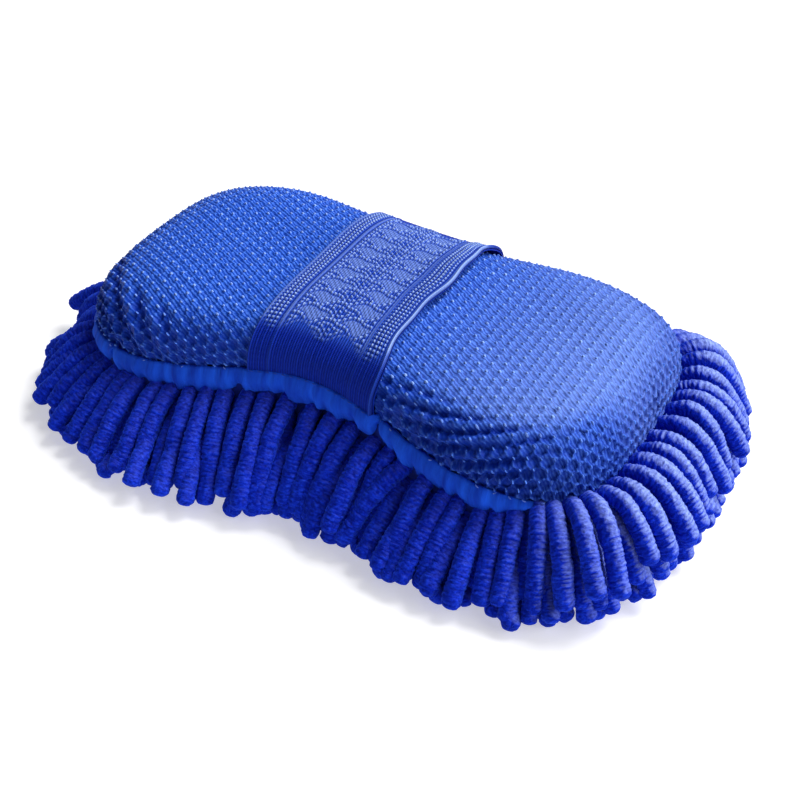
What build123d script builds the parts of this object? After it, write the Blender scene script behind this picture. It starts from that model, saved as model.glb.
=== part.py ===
import os

from build123d import *

# Chenille wash mitt: a waisted foam block in a net cover above and a chenille cloth below, sewn
# together round the edge, with an elastic hand strap over the waist.
# Millimetres. +X runs along the length, +Z is up, and the origin is on the surface that the mitt
# lies on, under its centre. The shape is the same on both sides of XZ and of YZ.

# Body outline, seen from above
LENGTH = 210.0
HALF_WIDTH = 54.3
WAIST_HALF_WIDTH = 44.6
LOBE_X = 64.0
WAIST_RADIUS = 100.0
CORNER_RADIUS = 28.0
CORNER_X = 75.0

# Body heights and roundings
BASE_Z = 14.0
TOP_Z = 60.4
TOP_RADIUS = 18.0
BASE_RADIUS = 5.0
CLOTH = 1.5
GAP = 0.3

# Seam between the net cover and the chenille cloth: it rises towards the waist
SEAM_LOBE_Z = 34.0
SEAM_WAIST_Z = 45.8
SEAM_RUN = 90.0
BAND_HEIGHT = 8.0
BAND_PROUD = 0.6

# Hand strap
STRAP_WIDTH = 50.0
STRAP_THICKNESS = 1.6
STRAP_MIDDLE_HALF = 28.0
STRAP_UNDERSIDE_Z = 65.2
STRAP_ARCH_RADIUS = 101.0
STRAP_END_Z = 46.3

# Chenille fingers
FINGER_RADIUS = 3.3
FINGER_TIP_RADIUS = 3.1
FINGERS_PER_QUARTER = 16
SIDE_SHARE = 0.5
ROOT_START = -0.8
ROOT_GAP = 0.15
UPPER_ROOT_DROP = 12.0
UPPER_RISE = 16.0
UPPER_RUN = 2.0
UPPER_BEND_RADIUS = 12.0
UPPER_END_EXTRA = 4.2
UPPER_TURN = 80.0
UPPER_END_TURN = 15.0
UPPER_LAST_RUN = 11.5
LOWER_ROOT_Z = 15.3
LOWER_BEND_RADIUS = 10.0
LOWER_TURN = 70.0
LOWER_END_TURN = 20.0
LOWER_TIP_Z = 1.2
EDGE_ROOT_INSET = 5.0
EDGE_RUN = 3.4
UNDER_BEND_RADIUS = 6.0
LYING_Z = 2.9
UNDER_PITCH = 7.3
UNDER_INNER_Y = 3.6
UNDER_OUTER_Y = 21.5
UNDER_INNER_COLUMNS = 13
UNDER_OUTER_COLUMNS = 12
UNDER_RUN = 8.3

# Stitches
THREAD_RADIUS = 0.35
STITCH_LENGTH = 3.2
STITCHES_PER_QUARTER = 26
TACKS_PER_SIDE = 6
TACK_PITCH = 3.8

REACH = 200.0
UP = Vector(0, 0, 1)


def save(piece, name):
    """Label one finished piece and write it."""
    piece.part.label = name
    export_step(piece.part, f"parts/{name}.step")


def quarter_outline():
    """The outline's quarter in +X +Y: four tangent arcs from the waist to the middle of the end."""
    rise = HALF_WIDTH - WAIST_HALF_WIDTH
    lobe_radius = (LOBE_X**2 + rise**2) / (2 * rise) - WAIST_RADIUS
    waist_centre = Vector(0, WAIST_HALF_WIDTH + WAIST_RADIUS)
    lobe_centre = Vector(LOBE_X, HALF_WIDTH - lobe_radius)
    corner_y = ((lobe_radius - CORNER_RADIUS) ** 2 - (CORNER_X - LOBE_X) ** 2) ** 0.5 + lobe_centre.Y
    corner_centre = Vector(CORNER_X, corner_y)
    depth = LENGTH / 2 - CORNER_X
    end_radius = (depth**2 + corner_y**2 - CORNER_RADIUS**2) / (2 * (depth - CORNER_RADIUS))
    end_centre = Vector(LENGTH / 2 - end_radius, 0)
    waist_end = waist_centre + (lobe_centre - waist_centre).normalized() * WAIST_RADIUS
    lobe_end = lobe_centre + (corner_centre - lobe_centre).normalized() * lobe_radius
    corner_end = end_centre + (corner_centre - end_centre).normalized() * end_radius
    with BuildLine() as quarter:
        waist = TangentArc((0, WAIST_HALF_WIDTH), waist_end, tangent=(1, 0))
        lobe = TangentArc(waist_end, lobe_end, tangent=waist % 1)
        corner = TangentArc(lobe_end, corner_end, tangent=lobe % 1)
        TangentArc(corner_end, (LENGTH / 2, 0), tangent=corner % 1)
    return quarter.wire()


def body_layer(inset):
    """The whole body's solid, brought in by inset on every side."""
    with BuildPart() as layer:
        with BuildSketch(Plane.XY.offset(BASE_Z + inset)):
            with BuildLine():
                add(OUTLINE)
                mirror(about=Plane.XZ)
                mirror(about=Plane.YZ)
            make_face()
            if inset:
                offset(amount=-inset)
        extrude(amount=TOP_Z - BASE_Z - 2 * inset)
        fillet(layer.edges().group_by(Axis.Z)[-1], TOP_RADIUS - inset)
        fillet(layer.edges().group_by(Axis.Z)[0], BASE_RADIUS - inset)
    return layer.part


def seam_height(x):
    """Height of the seam at x: the same cubic as the curve in seam_slice."""
    t = min(abs(x) / SEAM_RUN, 1.0)
    return SEAM_LOBE_Z + (SEAM_WAIST_Z - SEAM_LOBE_Z) * (1 - 3 * t**2 + 2 * t**3)


def seam_line(shift):
    """Half of the seam's line in XZ, from the waist past the end, moved up by shift."""
    waist_z = SEAM_WAIST_Z + shift
    lobe_z = SEAM_LOBE_Z + shift
    Bezier((0, waist_z), (SEAM_RUN / 3, waist_z), (2 * SEAM_RUN / 3, lobe_z), (SEAM_RUN, lobe_z))
    Line((SEAM_RUN, lobe_z), (LENGTH, lobe_z))
    return lobe_z, waist_z


def seam_slice(low, high):
    """Everything between two lines that run beside the seam, at low and high above it."""
    with BuildPart() as part:
        with BuildSketch(Plane.XZ):
            with BuildLine():
                low_end_z, low_mid_z = seam_line(low)
                high_end_z, high_mid_z = seam_line(high)
                Line((LENGTH, low_end_z), (LENGTH, high_end_z))
                Line((0, low_mid_z), (0, high_mid_z))
            make_face()
            mirror(about=Plane.YZ)
        extrude(amount=REACH, both=True)
    return part.part


def finger(place, run, bend_radius, turn, last_run, rise=0.0):
    """One finger in the plane place: out along x, a bend down by turn degrees, a straight end."""
    with BuildPart() as piece:
        with BuildLine(place) as path:
            root = PolarLine((ROOT_START, 0), run - ROOT_START, rise)
            bend = JernArc(start=root @ 1, tangent=root % 1, radius=bend_radius, arc_size=-turn - rise)
            Line(bend @ 1, bend @ 1 + bend % 1 * last_run)
        with BuildSketch(Plane(origin=path.wire() @ 0, z_dir=path.wire() % 0)):
            Circle(FINGER_RADIUS)
        sweep(path=path.wire())
        tip_edge = piece.edges().filter_by(GeomType.CIRCLE).sort_by_distance(path.wire() @ 1)[0]
        fillet(tip_edge, FINGER_TIP_RADIUS)
    return piece.part


def outline_point(share):
    """Point and outward direction at a share of the quarter outline's length."""
    distance = share * OUTLINE.length
    point = OUTLINE.position_at(distance, position_mode=PositionMode.LENGTH)
    along = OUTLINE.tangent_at(distance, position_mode=PositionMode.LENGTH)
    return point, UP.cross(along)


def ring_places(height):
    """Planes along the quarter outline, one for each finger, with x outward and y upward."""
    places = []
    for index in range(FINGERS_PER_QUARTER):
        point, outward = outline_point((index + 0.5) / FINGERS_PER_QUARTER)
        root = Vector(point.X, point.Y, height(point.X))
        places.append(Plane(origin=root, x_dir=outward, z_dir=outward.cross(UP)))
    return places


def upper_finger(place):
    """A finger of the top ring: it arches out and down, further out at the ends."""
    end = place.x_dir.X ** 2
    bend_radius = UPPER_BEND_RADIUS + UPPER_END_EXTRA * end
    turn = UPPER_TURN - UPPER_END_TURN * end
    return finger(place, UPPER_RUN, bend_radius, turn, UPPER_LAST_RUN, UPPER_RISE)


def lower_finger(place):
    """A finger of the lower ring, with its tip just above the floor."""
    end = place.x_dir.X ** 2
    turn = LOWER_TURN - LOWER_END_TURN * end
    drop = place.origin.Z - LOWER_TIP_Z - LOWER_BEND_RADIUS * (1 - cos_degrees(turn))
    return finger(place, 0.0, LOWER_BEND_RADIUS, turn, drop / sin_degrees(turn))


def cos_degrees(angle):
    """Cosine of an angle in degrees."""
    return Vector(1, 0, 0).rotate(Axis.Z, angle).X


def sin_degrees(angle):
    """Sine of an angle in degrees."""
    return Vector(1, 0, 0).rotate(Axis.Z, angle).Y


def lying_finger(root, outward, run):
    """A finger under the mitt: down from the cloth, then lying outward along the floor."""
    drop = root.Z - LYING_Z - UNDER_BEND_RADIUS
    side = outward.cross(UP)
    with BuildPart() as piece:
        with BuildLine(Plane(origin=root, x_dir=outward, z_dir=side)) as path:
            down = Line((0, 0), (0, -drop))
            bend = JernArc(start=down @ 1, tangent=down % 1, radius=UNDER_BEND_RADIUS, arc_size=90)
            Line(bend @ 1, bend @ 1 + bend % 1 * run)
        with BuildSketch(Plane(origin=root, z_dir=UP * -1)):
            Circle(FINGER_RADIUS)
        sweep(path=path.wire())
        tip_edge = piece.edges().filter_by(GeomType.CIRCLE).sort_by_distance(path.wire() @ 1)[0]
        fillet(tip_edge, FINGER_TIP_RADIUS)
        split(bisect_by=Plane.XY, keep=Keep.TOP)
    return piece.part


def save_group(name, pieces, across, opposite=None):
    """Write pieces and their mirror image as one node, turned to the opposite side if asked."""
    with BuildPart() as group:
        add(pieces)
        mirror(about=across)
        if opposite:
            mirror(about=opposite, mode=Mode.REPLACE)
    save(group, name)


def save_ring(name, fingers):
    """Write one ring as four nodes: its back, front, right end and left end."""
    side = [item for place, item in fingers if place.x_dir.X**2 < SIDE_SHARE]
    end = [item for place, item in fingers if place.x_dir.X**2 >= SIDE_SHARE]
    save_group(f"{name}_back", side, Plane.YZ)
    save_group(f"{name}_front", side, Plane.YZ, Plane.XZ)
    save_group(f"{name}_right", end, Plane.XZ)
    save_group(f"{name}_left", end, Plane.XZ, Plane.YZ)


def trimmed(piece):
    """A finger cut off where it meets the cloth."""
    with BuildPart() as rest:
        add(piece)
        add(CLOTH_FACE, mode=Mode.SUBTRACT)
    return rest.part


os.makedirs("parts", exist_ok=True)
OUTLINE = quarter_outline()
CLOTH_FACE = body_layer(-ROOT_GAP)

# Foam block inside the two cloths
with BuildPart() as foam_core:
    add(body_layer(CLOTH + GAP))
save(foam_core, "foam_core")

# Net cover over the top, down to the seam
with BuildPart() as mesh_cover:
    add(body_layer(0))
    add(body_layer(CLOTH), mode=Mode.SUBTRACT)
    add(seam_slice(0, REACH), mode=Mode.INTERSECT)
save(mesh_cover, "mesh_cover")

# Plain band just under the seam
with BuildPart() as edge_band:
    add(body_layer(-BAND_PROUD))
    add(body_layer(CLOTH), mode=Mode.SUBTRACT)
    add(seam_slice(-BAND_HEIGHT, -GAP), mode=Mode.INTERSECT)
save(edge_band, "edge_band")

# Ground cloth of the chenille, under the mitt and up its sides to the band
with BuildPart() as base_cloth:
    add(body_layer(0))
    add(body_layer(CLOTH), mode=Mode.SUBTRACT)
    add(seam_slice(-REACH, -BAND_HEIGHT - GAP), mode=Mode.INTERSECT)
save(base_cloth, "base_cloth")

# Middle of the hand strap: an arch over the flat of the body, which lifts off it
with BuildPart() as hand_strap:
    with BuildSketch(Plane.YZ):
        with Locations((0, STRAP_UNDERSIDE_Z - STRAP_ARCH_RADIUS)):
            Circle(STRAP_ARCH_RADIUS + STRAP_THICKNESS)
            Circle(STRAP_ARCH_RADIUS, mode=Mode.SUBTRACT)
        with Locations((0, TOP_Z)):
            Rectangle(2 * STRAP_MIDDLE_HALF, 2 * TOP_RADIUS, mode=Mode.INTERSECT)
    extrude(amount=STRAP_WIDTH / 2, both=True)
save(hand_strap, "hand_strap")

# Sides of the hand strap: they follow the body from the seam to the strap's middle
with BuildPart() as strap_sides:
    add(body_layer(-GAP - STRAP_THICKNESS))
    add(body_layer(-GAP), mode=Mode.SUBTRACT)
    with Locations((0, STRAP_MIDDLE_HALF + GAP, STRAP_END_Z)):
        Box(STRAP_WIDTH, REACH, REACH, align=(Align.CENTER, Align.MIN, Align.MIN), mode=Mode.INTERSECT)
for side_name, side_plane in (("back", None), ("front", Plane.XZ)):
    with BuildPart() as strap_side:
        add(strap_sides.part)
        if side_plane:
            mirror(about=side_plane, mode=Mode.REPLACE)
    save(strap_side, f"strap_side_{side_name}")

# Overlock stitches along the net's lower edge, from the strap to the ends
stitch_places = []
for stitch_index in range(STITCHES_PER_QUARTER):
    stitch_point, stitch_out = outline_point((stitch_index + 0.5) / STITCHES_PER_QUARTER)
    if stitch_point.X > STRAP_WIDTH / 2 + GAP:
        stitch_spot = stitch_point + stitch_out * (THREAD_RADIUS + GAP)
        stitch_places.append((stitch_spot.X, stitch_spot.Y, seam_height(stitch_point.X) + GAP))
with BuildPart() as seam_thread:
    with Locations(*stitch_places):
        Cylinder(THREAD_RADIUS, STITCH_LENGTH, align=(Align.CENTER, Align.CENTER, Align.MIN))
    mirror(about=Plane.XZ)
    mirror(about=Plane.YZ)
save(seam_thread, "seam_thread")

# Tack stitches through the seam under each end of the strap
tack_places = []
for tack_index in range(TACKS_PER_SIDE):
    tack_x = (tack_index + 0.5) * TACK_PITCH
    tack_y = WAIST_HALF_WIDTH + WAIST_RADIUS - (WAIST_RADIUS**2 - tack_x**2) ** 0.5
    tack_y += BAND_PROUD + THREAD_RADIUS + GAP
    tack_places.append((tack_x, tack_y, seam_height(tack_x) - GAP))
with BuildPart() as tacks:
    with Locations(*tack_places):
        Cylinder(THREAD_RADIUS, STITCH_LENGTH, align=(Align.CENTER, Align.CENTER, Align.MAX))
for tack_name, tack_plane in (("back", None), ("front", Plane.XZ)):
    save_group(f"strap_tack_{tack_name}", tacks.part, Plane.YZ, tack_plane)

# Rings of fingers round the sides
upper_places = ring_places(lambda x: seam_height(x) - UPPER_ROOT_DROP)
lower_places = ring_places(lambda x: LOWER_ROOT_Z + (seam_height(x) - SEAM_LOBE_Z) / 2)
save_ring("upper_fingers", [(place, trimmed(upper_finger(place))) for place in upper_places])
save_ring("lower_fingers", [(place, trimmed(lower_finger(place))) for place in lower_places])

# Ring of fingers under the edge
edge_fingers = []
for edge_place in ring_places(lambda x: BASE_Z - ROOT_GAP):
    edge_root = edge_place.origin - edge_place.x_dir * EDGE_ROOT_INSET
    edge_fingers.append((edge_place, lying_finger(edge_root, edge_place.x_dir, EDGE_RUN)))
save_ring("edge_fingers", edge_fingers)

# Rows of fingers under the mitt
for row_name, row_y, columns in (
    ("inner", UNDER_INNER_Y, UNDER_INNER_COLUMNS),
    ("outer", UNDER_OUTER_Y, UNDER_OUTER_COLUMNS),
):
    row = []
    for column in range(columns):
        row_root = Vector((column + 0.5) * UNDER_PITCH, row_y, BASE_Z - ROOT_GAP)
        row.append(lying_finger(row_root, Vector(0, 1, 0), UNDER_RUN))
    save_group(f"under_fingers_{row_name}_back", row, Plane.YZ)
    save_group(f"under_fingers_{row_name}_front", row, Plane.YZ, Plane.XZ)
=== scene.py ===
import math

import bpy
import numpy as np
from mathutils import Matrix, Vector


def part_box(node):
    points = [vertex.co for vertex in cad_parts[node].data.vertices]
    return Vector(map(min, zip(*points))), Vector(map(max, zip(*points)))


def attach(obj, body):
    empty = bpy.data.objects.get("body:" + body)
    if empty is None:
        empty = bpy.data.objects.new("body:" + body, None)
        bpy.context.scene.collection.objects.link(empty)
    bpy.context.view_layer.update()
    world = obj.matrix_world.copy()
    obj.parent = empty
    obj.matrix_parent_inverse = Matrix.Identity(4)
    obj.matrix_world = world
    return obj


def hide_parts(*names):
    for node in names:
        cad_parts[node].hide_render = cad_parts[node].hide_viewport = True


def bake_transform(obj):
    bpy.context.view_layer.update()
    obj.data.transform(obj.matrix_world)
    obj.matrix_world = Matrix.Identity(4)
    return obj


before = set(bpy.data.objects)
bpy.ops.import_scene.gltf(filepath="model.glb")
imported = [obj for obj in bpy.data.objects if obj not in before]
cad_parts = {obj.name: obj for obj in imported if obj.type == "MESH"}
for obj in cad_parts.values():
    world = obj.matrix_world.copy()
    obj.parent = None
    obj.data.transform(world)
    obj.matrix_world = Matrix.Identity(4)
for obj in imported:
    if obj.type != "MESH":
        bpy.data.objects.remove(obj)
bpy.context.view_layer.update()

# Chenille wash mitt. Shapes are worked out in millimetres and turned into metres by add_mesh.
# A surface point of the body is named by its place (p, q) on the flat cloth that covers it.

MM = 0.001
RNG = np.random.default_rng(319)


def cad_mm(node):
    """Lowest and highest corner of a CAD node, in millimetres."""
    low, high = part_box(node)
    return np.array(low) / MM, np.array(high) / MM


COVER_LOW, COVER_HIGH = cad_mm("mesh_cover")
BASE_Z = cad_mm("base_cloth")[0][2]

# Body: outline seen from above, then its cross-section
HALF_LENGTH = COVER_HIGH[0]
END_POWER = 4.0
LOBE_HALF_WIDTH = COVER_HIGH[1] + 5.4
WAIST_PINCH = 15.2
WAIST_RUN = 52.0
RIDGE_HALF = 45.2
SEAM_Z = COVER_LOW[2]
SEAM_LIFT = 11.8
LOBE_TOP = COVER_HIGH[2]
WAIST_TOP_LIFT = 2.2
SECTION_POWER = 3.2
RIM_STEP = 0.5
FLOOR_GAP = 0.4

# Cloths
NET_PITCH_X = 3.9
NET_PITCH_Y = 4.2
NET_BACKING = 3.0
BAND_HEIGHT = 9.4
BAND_SPLITS = (-81.5, 27.5)
BAND_FADE = (70, 92)
STRAP_HALF = cad_mm("hand_strap")[1][0]
STRAP_THICKNESS = 1.3
STRAP_RUN = 68.0
DIAMOND_LENGTH = 17.6
DIAMOND_HEIGHT = 9.5
BEAD_PITCH = 1.6

# Fingers
FINGER_RADIUS = 3.55
TERRY_RING = 1.45
TERRY_TUFT = 1.2
TERRY_DEPTH = 0.62
ROOT_LINE_OUT = 12.0
UPPER_COUNT = 84
LOWER_COUNT = 96
EDGE_COUNT = 94
THINNED_LEFT = 0.4
UNDER_PITCH = 7.2
# x range over which the painted glare on the right end's fingers rises.
GLARE_START, GLARE_FULL = 76, 108

FLOOR_HALF = 60000.0


# -------------------- meshes

def add_mesh(name, points, faces, material, smooth=True, uv=None, values=None):
    """An object from points in millimetres; uv is a flat place per point, values are attributes."""
    mesh = bpy.data.meshes.new(name)
    points = np.asarray(points, float).reshape(-1, 3) * MM
    mesh.from_pydata(points.tolist(), [], [list(map(int, face)) for face in faces])
    mesh.update()
    mesh.polygons.foreach_set("use_smooth", [smooth] * len(mesh.polygons))
    if uv is not None:
        corner = np.zeros(len(mesh.loops), int)
        mesh.loops.foreach_get("vertex_index", corner)
        layer = mesh.uv_layers.new(name="flat")
        layer.data.foreach_set("uv", (np.asarray(uv, float)[corner]).ravel())
    for key, column in (values or {}).items():
        column = np.asarray(column, np.float32)
        scalar = column.ndim == 1
        layer = mesh.attributes.new(key, "FLOAT" if scalar else "FLOAT_VECTOR", "POINT")
        layer.data.foreach_set("value" if scalar else "vector", column.ravel())
    mesh.materials.append(material)
    piece = bpy.data.objects.new(name, mesh)
    bpy.context.scene.collection.objects.link(piece)
    return piece


def grid_faces(rows, columns, wrap=False, start=0):
    """Quads of a rows by columns grid of points, closed round its columns if wrap."""
    i = np.arange(rows - 1)[:, None]
    j = np.arange(columns if wrap else columns - 1)[None, :]
    k = (j + 1) % columns
    quads = np.stack([i * columns + j, i * columns + k, (i + 1) * columns + k, (i + 1) * columns + j], -1)
    return quads.reshape(-1, 4) + start


def rise(x, low, high):
    """0 below low, 1 above high, and a smooth rise between them."""
    t = np.clip((x - low) / (high - low), 0, 1)
    return t * t * (3 - 2 * t)


# -------------------- body surface

def waist(x):
    """1 at the waist, falling to 0 in the lobes."""
    return np.exp(-((x / WAIST_RUN) ** 2))


def outline_y(x):
    """Half width of the body at x."""
    blunt = np.clip(1 - np.abs(x / HALF_LENGTH) ** END_POWER, 0, 1) ** (1 / END_POWER)
    return blunt * (LOBE_HALF_WIDTH - WAIST_PINCH * waist(x))


def end_table():
    """Distance from the ridge's end to the outline, by angle from the x axis."""
    a = np.linspace(0, math.pi / 2, 400)
    x = HALF_LENGTH * np.cos(a) ** (2 / END_POWER)
    y = np.sin(a) ** (2 / END_POWER) * (LOBE_HALF_WIDTH - WAIST_PINCH * waist(x))
    angle = np.arctan2(y, x - RIDGE_HALF)
    order = np.argsort(angle)
    return angle[order], np.hypot(y, x - RIDGE_HALF)[order]


def section_table():
    """Where a cloth that starts at the ridge has got to, by the section's height ratio and by share."""
    ratios = np.linspace(0.15, 0.8, 40)
    shares = np.linspace(0, 1, 300)
    turn = np.linspace(0, 1, 3000) ** 2 * math.pi / 2
    turn = np.concatenate([turn / 2, math.pi / 2 - turn[::-1] / 2])
    out = np.sin(turn) ** (2 / SECTION_POWER)
    up = np.cos(turn) ** (2 / SECTION_POWER)
    lengths, turns = [], []
    for ratio in ratios:
        steps = np.hypot(np.diff(out), ratio * np.diff(up))
        run = np.concatenate([[0], np.cumsum(steps)])
        lengths.append(run[-1])
        turns.append(np.interp(shares, run / run[-1], turn))
    return ratios, shares, np.array(lengths), np.array(turns)


END_ANGLES, END_RADII = end_table()
RATIOS, SHARES, LENGTHS, TURNS = section_table()


def place(p, q):
    """Ridge point, outward direction, half width that way and distance for flat places (p, q)."""
    p, q = np.asarray(p, float), np.asarray(q, float)
    base = np.clip(p, -RIDGE_HALF, RIDGE_HALF)
    over = p - base
    distance = np.hypot(over, q)
    away = np.where(distance > 1e-9, distance, 1.0)
    dx = np.where(distance > 1e-9, over / away, 0.0)
    dy = np.where(distance > 1e-9, q / away, 1.0)
    at_end = np.interp(np.arctan2(np.abs(q), np.abs(over)), END_ANGLES, END_RADII)
    width = np.where(np.abs(over) > 1e-9, at_end, outline_y(base))
    return base, dx, dy, width, distance


def heights(x):
    """Seam height and top height at x."""
    seam = SEAM_Z + SEAM_LIFT * waist(x)
    return seam, LOBE_TOP + WAIST_TOP_LIFT * waist(x)


def reach(p, q):
    """Length of cloth from the ridge to the seam in the direction of (p, q)."""
    base, dx, _, width, _ = place(p, q)
    seam, top = heights(base + dx * width)
    return width * np.interp((top - seam) / width, RATIOS, LENGTHS)


def bare_surface(p, q):
    """Points of the covered body at flat places (p, q)."""
    base, dx, dy, width, distance = place(p, q)
    seam, top = heights(base + dx * width)
    ratio = (top - seam) / width
    share = np.clip(distance / (width * np.interp(ratio, RATIOS, LENGTHS)), 0, 1)
    row = np.clip((ratio - RATIOS[0]) / (RATIOS[1] - RATIOS[0]), 0, len(RATIOS) - 1.001)
    column = share * (len(SHARES) - 1.001)
    i, j = row.astype(int), column.astype(int)
    fi, fj = row - i, column - j
    turn = (TURNS[i, j] * (1 - fi) + TURNS[i + 1, j] * fi) * (1 - fj)
    turn = turn + (TURNS[i, j + 1] * (1 - fi) + TURNS[i + 1, j + 1] * fi) * fj
    out = np.sin(turn) ** (2 / SECTION_POWER)
    up = np.clip(np.cos(turn), 0, 1) ** (2 / SECTION_POWER)
    x = base + dx * width * out
    _, top_here = heights(x)
    z = seam + (top_here - seam) * up
    sag = 0.5 * np.sin(p / 19.0 + 1.0) * np.cos(q / 15.0) + 0.35 * np.sin(p / 9.0 - q / 11.0)
    return np.stack([x, dy * width * out, z + sag * up], -1)


def surface(p, q, lift=0.0):
    """Points raised by lift off the covered body at flat places (p, q), and the normals there."""
    step = 0.4
    point = bare_surface(p, q)
    along = bare_surface(p + step, q) - bare_surface(p - step, q)
    across = bare_surface(p, q + step) - bare_surface(p, q - step)
    normal = np.cross(along, across)
    normal /= np.linalg.norm(normal, axis=-1, keepdims=True) + 1e-12
    return point + normal * np.asarray(lift)[..., None], normal


def rim(count, outside=0.0):
    """Points round the body's outline, evenly spaced along a line outside it, with their outward
    directions and that line's length."""
    a = np.linspace(0, math.tau, 4001)
    x = HALF_LENGTH * np.sign(np.cos(a)) * np.abs(np.cos(a)) ** (2 / END_POWER)
    half = LOBE_HALF_WIDTH - WAIST_PINCH * waist(x)
    y = np.sign(np.sin(a)) * np.abs(np.sin(a)) ** (2 / END_POWER) * half
    dx, dy = np.gradient(x), np.gradient(y)
    size = np.hypot(dx, dy) + 1e-9
    far_x, far_y = x + dy / size * outside, y - dx / size * outside
    run = np.concatenate([[0], np.cumsum(np.hypot(np.diff(far_x), np.diff(far_y)))])
    at = np.linspace(0, run[-1], count + 1)[:-1]
    point = np.stack([np.interp(at, run, x), np.interp(at, run, y)], -1)
    ahead, back = (
        np.stack([np.interp(at + step, run, line, period=run[-1]) for line in (x, y)], -1)
        for step in (RIM_STEP, -RIM_STEP))
    tangent = ahead - back
    tangent /= np.linalg.norm(tangent, axis=1, keepdims=True)
    return point, np.stack([tangent[:, 1], -tangent[:, 0]], -1), run[-1]


# -------------------- materials

def new_material(name):
    """A material, its node tree and its shader."""
    material = bpy.data.materials.new(name)
    material.use_nodes = True
    return material, material.node_tree, material.node_tree.nodes["Principled BSDF"]


def put(tree, socket, value):
    """Link another node's output to a socket, or set it to a number, a place or a colour."""
    if isinstance(value, bpy.types.NodeSocket):
        tree.links.new(value, socket)
    else:
        socket.default_value = (*value, 1.0) if socket.type == "RGBA" else value


def wire(tree, node, **inputs):
    """Put values in a node's inputs by name; an underscore stands for a space."""
    for name, value in inputs.items():
        put(tree, node.inputs[name.replace("_", " ")], value)
    return node


def add_node(tree, kind, **inputs):
    return wire(tree, tree.nodes.new("ShaderNode" + kind), **inputs)


def noise(tree, vector, scale, detail=3.0):
    return add_node(tree, "TexNoise", Vector=vector, Scale=scale, Detail=detail).outputs["Fac"]


def ramp(tree, value, *stops):
    node = add_node(tree, "ValToRGB", Fac=value)
    while len(node.color_ramp.elements) < len(stops):
        node.color_ramp.elements.new(0.5)
    for element, (position, color) in zip(node.color_ramp.elements, stops):
        element.position = position
        element.color = (*color, 1.0)
    return node.outputs["Color"]


def bump(tree, value, strength, distance, **under):
    """A bumped normal; under may hold the Normal of a coarser bump."""
    node = add_node(tree, "Bump", Height=value, Strength=strength, Distance=distance, **under)
    return node.outputs["Normal"]


def stretch(tree, vector, scale):
    return add_node(tree, "Mapping", Vector=vector, Scale=scale).outputs["Vector"]


def coordinates(tree, kind):
    return add_node(tree, "TexCoord").outputs[kind]


def flat_place(tree):
    node = add_node(tree, "UVMap")
    node.uv_map = "flat"
    return node.outputs["UV"]


def attribute(tree, name, output="Fac"):
    node = add_node(tree, "Attribute")
    node.attribute_name = name
    return node.outputs[output]


def wave(tree, vector, scale, direction, distortion):
    node = add_node(tree, "TexWave", Vector=vector, Scale=scale, Distortion=distortion, Detail_Scale=2.0)
    node.bands_direction = direction
    return node.outputs["Fac"]


def mix(tree, share, first, second, kind="MIX"):
    """Two colours mixed by share; each of the three is a value or another node's output."""
    node = add_node(tree, "Mix")
    node.data_type = "RGBA"
    node.blend_type = kind
    sockets = {socket.identifier: socket for socket in (*node.inputs, *node.outputs)}
    for name, value in (("Factor_Float", share), ("A_Color", first), ("B_Color", second)):
        put(tree, sockets[name], value)
    return sockets["Result_Color"]


def chenille_material():
    """Blue pile, with painted shade between its tufts and a painted highlight on their tips; on the right
    end a painted glare makes its upper side paler.
    """
    material, tree, shader = new_material("chenille_pile")
    where = coordinates(tree, "Object")
    blotch = noise(tree, where, 140.0, 2.0)
    fibre = noise(tree, where, 1900.0)
    wound = stretch(tree, attribute(tree, "finger_place", "Vector"), (0.62, 0.62, 1.55))
    crinkle = noise(tree, wound, 1.0, 2.0)
    deep = ramp(tree, blotch, (0.3, (0.003, 0.018, 0.50)), (0.7, (0.006, 0.034, 0.68)))
    # Painted shade in the valleys between the terry tufts and a painted highlight on their tips.
    tip = ramp(tree, attribute(tree, "terry"), (0.15, (0.45, 0.50, 0.62)), (0.55, (0.95, 0.97, 1.0)),
               (0.9, (1.7, 1.45, 1.08)))
    color = mix(tree, 1.0, deep, tip, "MULTIPLY")
    loops = ramp(tree, crinkle, (0.36, (0.42, 0.46, 0.60)), (0.5, (1.0, 1.0, 1.0)), (0.64, (1.9, 1.65, 1.2)))
    color = mix(tree, 0.75, color, loops, "MULTIPLY")
    fuzz = ramp(tree, fibre, (0.35, (0.7, 0.74, 0.8)), (0.65, (1.4, 1.3, 1.1)))
    color = mix(tree, 0.6, color, fuzz, "MULTIPLY")
    # Painted glare: a paler colour where the pile faces the light from the back right, broken up by the
    # crinkle pattern and strongest on the right end.
    facing = add_node(tree, "VectorMath")
    facing.operation = "DOT_PRODUCT"
    put(tree, facing.inputs[0], add_node(tree, "NewGeometry").outputs["Normal"])
    put(tree, facing.inputs[1], (0.46, 0.16, 0.87))
    top = ramp(tree, facing.outputs["Value"], (0.52, (0.0, 0.0, 0.0)), (1.0, (1.0, 1.0, 1.0)))
    glare_breakup = ramp(tree, crinkle, (0.32, (0.42, 0.42, 0.42)), (0.66, (1.0, 1.0, 1.0)))
    painted_glare = mix(tree, attribute(tree, "painted_glare"), (0.0, 0.0, 0.0), mix(tree, 1.0, top, glare_breakup, "MULTIPLY"))
    normal = bump(tree, fibre, 0.5, 0.0003, Normal=bump(tree, crinkle, 1.0, 0.0007))
    wire(tree, shader, Base_Color=mix(tree, painted_glare, color, (0.36, 0.48, 1.0)), Normal=normal, Roughness=0.95,
         Specular_IOR_Level=0.05, Sheen_Weight=0.55, Sheen_Roughness=0.45, Sheen_Tint=(0.06, 0.18, 1.0))
    return material


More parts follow.
